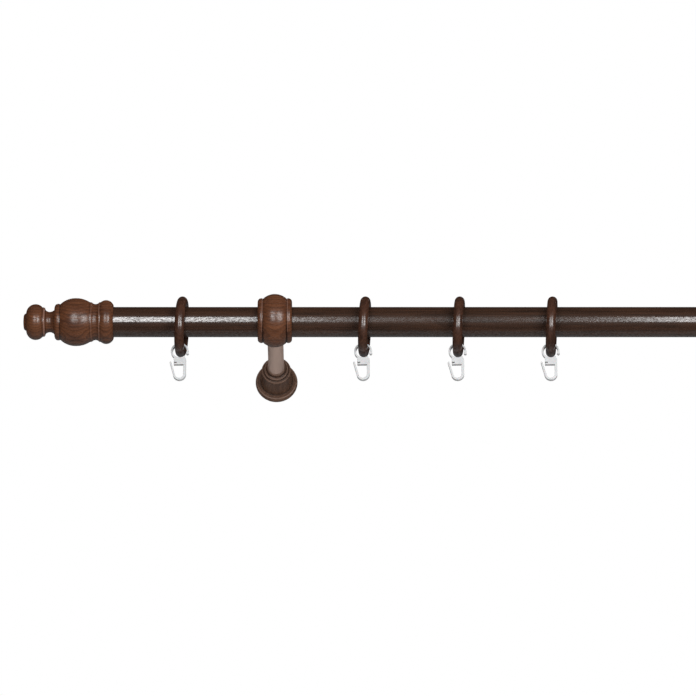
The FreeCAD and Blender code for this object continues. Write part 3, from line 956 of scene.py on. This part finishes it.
class CURTAINPOLE_OT_hooks(Operator):
    """Makes the moulded hooks that clip round the rings"""

    bl_idname = "curtainpole.hooks"
    bl_label = "Hooks"

    def execute(self, context):
        hook = context.scene.curtainpole_hook
        points, quads, triangles = moulded_plate(hook_outline(), hook.thickness, hook.edge)
        finish = finish_of("hook_moulding", moulded_plastic, tuple(hook.plastic))
        for number in RING_NUMBERS:
            pivot = np.array(JOINTS[f"hook_{number}_swing"]["pos_m"])
            placed = turned_about_z(points, ring_turn(number)) + pivot
            mesh = closed_mesh(f"hook_{number}_moulded", placed, quads, triangles)
            name = f"hook_{number}"
            add_piece(f"{name}_moulded", mesh, name, name, finish)
        return {"FINISHED"}


# ---------------------------------------------------------------- metal pieces

BOLT_RADIUS = 3.0
BOLT_MACHINE_ROOT = 2.45
BOLT_WOOD_ROOT = 2.1
BOLT_FRONT, BOLT_NECK, BOLT_WOOD_END, BOLT_TIP = 32.0, -6.0, -34.0, -38.0


def thread_rule(pitches):
    """The radius r(x, a) of a real thread, from how far x / pitch - a / turn is from a whole number."""

    def change(along, radius, angle):
        x = along / MM
        machine = np.abs(((x / pitches[0] - angle / math.tau) % 1.0) - 0.5) * 2
        wood = np.abs(((x / pitches[1] - angle / math.tau) % 1.0) - 0.5) * 2
        depth = np.where(x > 0, (BOLT_RADIUS - BOLT_MACHINE_ROOT) * machine, 0 * angle)
        wood_depth = (BOLT_RADIUS - BOLT_WOOD_ROOT) * np.minimum(1.0, 1.7 * (1 - wood))
        runs_in = np.clip((BOLT_NECK - x) / 2.0, 0, 1)
        return np.minimum(radius, (BOLT_RADIUS - depth - wood_depth * runs_in) * MM)

    return change


class CURTAINPOLE_OT_metalwork(Operator):
    """Makes the threaded hanger bolts, and finishes the screws and inserts"""

    bl_idname = "curtainpole.metalwork"
    bl_label = "Metalwork"

    def execute(self, context):
        hook = context.scene.curtainpole_hook
        steel = finish_of("zinc_plate", plated_metal, tuple(hook.steel), tuple(hook.steel_tarnish))
        brass = finish_of("turned_brass", plated_metal, tuple(hook.brass), tuple(hook.brass_tarnish))
        fine = np.arange(BOLT_FRONT - 0.6, BOLT_WOOD_END, -0.16)
        body = np.column_stack([fine, np.full(len(fine), BOLT_RADIUS)])
        front = [[BOLT_FRONT, 0.0], [BOLT_FRONT, 2.3]]
        back = [[BOLT_WOOD_END, 2.9], [BOLT_TIP + 1.4, 1.1], [BOLT_TIP + 0.3, 0.35], [BOLT_TIP, 0.0]]
        path = np.concatenate([front, body, back]) * MM
        for side in SIDES:
            rule = thread_rule((hook.thread_pitch / MM, hook.wood_pitch / MM))
            points, quads, triangles = turned_body(path, 40, rule)
            name = f"hanger_bolt_{side}"
            mesh = closed_mesh(f"{name}_threaded", on_bracket(points, side), quads, triangles)
            add_piece(f"{name}_threaded", mesh, FIXED_BODY, name, steel)
            for trim in TRIM_NODES:
                shown = frame["nodes"][f"{trim}_{side}"]
                finish = brass if trim == "threaded_insert" else steel
                shown.data.materials.clear()
                shown.data.materials.append(finish)
        return {"FINISHED"}


# ---------------------------------------------------------------- stage


FRONT_LIGHT_Y = -1.64
FRONT_LIGHT_Z = -0.14
FRONT_LIGHT_HEIGHT = 0.965


def softbox(name, place, aim, size, power, mirrored_image=True):
    """A rectangular studio light that the camera doesn't see, and glossy pieces only mirror if asked to."""
    data = bpy.data.lights.new(name, "AREA")
    data.shape, data.energy = "RECTANGLE", power
    data.size, data.size_y = size
    lamp = bpy.data.objects.new(name, data)
    bpy.context.scene.collection.objects.link(lamp)
    lamp.location = place
    lamp.rotation_euler = (Vector(aim) - Vector(place)).to_track_quat("-Z", "Y").to_euler()
    lamp.visible_camera = False
    lamp.visible_glossy = mirrored_image


def overhead_light(strength):
    """Very soft light from straight above, as a white ceiling gives it, with no mirror image of its own."""
    data = bpy.data.lights.new("overhead", "SUN")
    data.energy, data.angle = strength, math.radians(100)
    lamp = bpy.data.objects.new("overhead", data)
    bpy.context.scene.collection.objects.link(lamp)
    lamp.visible_glossy = False


def studio_world():
    """White behind everything. What the pieces mirror is dim, but for a pale backdrop low behind them.

    The backdrop's share rises with the cosine between a direction and a line 37 degrees below +Y.
    """
    world = bpy.data.worlds.new("studio")
    bpy.context.scene.world = world
    world.use_nodes = True
    world.node_tree.nodes.clear()
    sheet = Sheet(world.node_tree)
    seen = sheet.node("ShaderNodeLightPath")
    direction = sheet.node("ShaderNodeTexCoord")
    backdrop = {0: direction, 1: (0, 0.8, -0.6)}
    toward = sheet.node("ShaderNodeVectorMath", {"operation": "DOT_PRODUCT"}, backdrop, 1)
    strength = toward.ramp(0.45, 0.85) * 0.25 + 0.02
    white = sheet.node("ShaderNodeBackground", None, {"Color": (1.0, 1.0, 1.0), "Strength": 1.0})
    dim = sheet.node("ShaderNodeBackground", None, {"Color": (0.96, 0.98, 1.0), "Strength": strength})
    mixed = sheet.node("ShaderNodeMixShader", None, {0: seen, 1: dim, 2: white})
    sheet.node("ShaderNodeOutputWorld", None, {"Surface": mixed})


def floor_disc(stage):
    """A wide round floor, z constant: (r cos a, r sin a)."""
    radius = np.array([0.0, 0.5, 1.5, 4.0, 12.0, 40.0])[:, None]
    angle = np.linspace(0, math.tau, 64, endpoint=False)[None, :]
    height = POLE_MIDDLE.z - stage.floor_drop + 0 * radius + 0 * angle
    points = np.stack([radius * np.cos(angle), radius * np.sin(angle), height], axis=-1).reshape(-1, 3)
    mesh = bpy.data.meshes.new("floor")
    mesh.from_pydata(points, [], grid_faces(len(radius), angle.shape[1], False).tolist())
    material, sheet, shader = new_finish("floor_paint", roughness=0.6)
    place = sheet.node("ShaderNodeTexCoord", None, None, "Object")
    cloud = sheet.noise(place, (1.4, 1.4, 1.4), 3.0)
    paint = tuple(stage.floor_colour)
    sheet.feed(shader.inputs["Base Color"], sheet.mix(cloud, paint, tuple(0.97 * c for c in paint)))
    mesh.materials.append(material)
    floor = bpy.data.objects.new("floor", mesh)
    bpy.context.scene.collection.objects.link(floor)
    floor.visible_glossy = False


class CURTAINPOLE_OT_stage(Operator):
    """Sets the pale floor, the soft studio lights and the camera"""

    bl_idname = "curtainpole.stage"
    bl_label = "Stage"

    def execute(self, context):
        stage = context.scene.curtainpole_stage
        studio_world()
        floor_disc(stage)
        look = Vector((POLE_LOW.x + stage.camera_from_end, POLE_MIDDLE.y, POLE_MIDDLE.z))
        front = (("key", -0.75, 0.60, stage.key_power), ("side", 0.665, 1.28, stage.side_power))
        for name, x, width, power in front:
            place, aim = (x, FRONT_LIGHT_Y, FRONT_LIGHT_Z), (x, POLE_MIDDLE.y, FRONT_LIGHT_Z)
            softbox(f"{name}_softbox", place, aim, (width, FRONT_LIGHT_HEIGHT), power)
        for side, sign in (("left", -1), ("right", 1)):
            place, aim = (1.1 * sign, 1.2, 2.0), (0.2 * sign, 0.0, 0.0)
            softbox(f"back_{side}_softbox", place, aim, (1.2, 1.0), stage.back_power, False)
        overhead_light(stage.top_strength)
        forward = Vector((0, math.cos(stage.camera_tilt), math.sin(stage.camera_tilt)))
        upward = Vector((0, -math.sin(stage.camera_tilt), math.cos(stage.camera_tilt)))
        data = bpy.data.cameras.new("camera")
        data.lens, data.sensor_width = stage.lens, 36.0
        data.clip_start, data.clip_end = 0.05, 100.0
        camera = bpy.data.objects.new("camera", data)
        context.scene.collection.objects.link(camera)
        camera.location = look - forward * stage.camera_distance - upward * stage.camera_below
        camera.rotation_euler = forward.to_track_quat("-Z", "Y").to_euler()
        context.scene.camera = camera
        context.scene.view_settings.view_transform = "Standard"
        return {"FINISHED"}


class CURTAINPOLE_PT_panel(Panel):
    """Lists the pieces and their settings."""

    bl_idname = "CURTAINPOLE_PT_panel"
    bl_label = "Curtain pole"
    bl_space_type = "VIEW_3D"
    bl_region_type = "UI"
    bl_category = "Curtain pole"

    def draw(self, context):
        for operator in OPERATORS:
            self.layout.operator(operator.bl_idname)
        for name in SETTINGS:
            box = self.layout.box()
            group = getattr(context.scene, name)
            for key in group.bl_rna.properties.keys()[2:]:
                box.prop(group, key)


SETTINGS = {
    "curtainpole_wood": CURTAINPOLE_PG_wood,
    "curtainpole_hook": CURTAINPOLE_PG_hook,
    "curtainpole_stage": CURTAINPOLE_PG_stage,
}
OPERATORS = (
    CURTAINPOLE_OT_stage,
    CURTAINPOLE_OT_pole,
    CURTAINPOLE_OT_finials,
    CURTAINPOLE_OT_collars,
    CURTAINPOLE_OT_arms,
    CURTAINPOLE_OT_rosettes,
    CURTAINPOLE_OT_metalwork,
    CURTAINPOLE_OT_rings,
    CURTAINPOLE_OT_hooks,
)


def register():
    for kind in (*SETTINGS.values(), *OPERATORS, CURTAINPOLE_PT_panel):
        bpy.utils.register_class(kind)
    for name, kind in SETTINGS.items():
        setattr(bpy.types.Scene, name, PointerProperty(type=kind))


def unregister():
    for name in SETTINGS:
        delattr(bpy.types.Scene, name)
    for kind in (CURTAINPOLE_PT_panel, *reversed(OPERATORS), *SETTINGS.values()):
        bpy.utils.unregister_class(kind)


def main():
    register()
    for operator in OPERATORS:
        group, name = operator.bl_idname.split(".")
        getattr(getattr(bpy.ops, group), name)()


if __name__ == "__main__":
    main()
